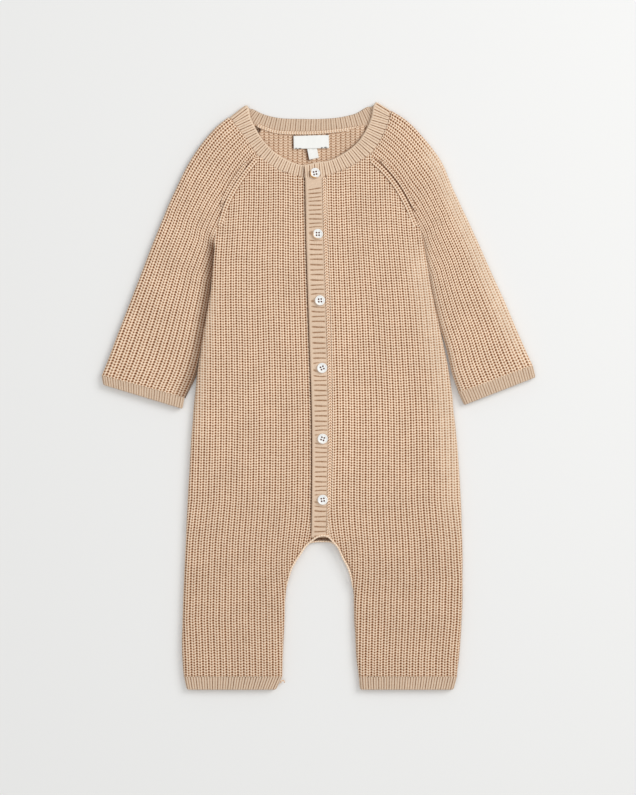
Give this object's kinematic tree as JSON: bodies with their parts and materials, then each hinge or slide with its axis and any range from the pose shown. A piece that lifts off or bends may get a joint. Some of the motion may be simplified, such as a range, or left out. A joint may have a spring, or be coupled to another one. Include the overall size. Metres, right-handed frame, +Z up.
{
  "type": "baby romper",
  "caption": "Baby romper in chunky rib knit with long raglan sleeves, long legs, a ribbed neckband and a buttoned front, buttoned up and laid flat on its back.",
  "frame": {"origin": "middle of the romper's outline, on the plane it lies on", "axes": "+Y from the hems to the neck, +X to the wearer's left, +Z up through the cloth to the buttons"},
  "size_m": [0.3994, 0.5395, 0.0116],
  "materials": {
    "rib_knit": "matt beige cotton, chunky rib knit",
    "woven_label": "plain off-white woven tape",
    "button_shell": "glossy white shell"
  },
  "bodies": {
    "root": {"back": "rib_knit", "front_right": "rib_knit", "front_left": "rib_knit", "button_band_right": "rib_knit", "buttonhole_band_left": "rib_knit", "sleeve_right": "rib_knit", "sleeve_left": "rib_knit", "neckband": "rib_knit", "cuff_right": "rib_knit", "cuff_left": "rib_knit", "hem_right": "rib_knit", "hem_left": "rib_knit", "neck_label": "woven_label", "size_tab": "woven_label", "button_1": "button_shell", "button_2": "button_shell", "button_3": "button_shell", "button_4": "button_shell", "button_5": "button_shell", "button_6": "button_shell"}
  },
  "joints": []
}
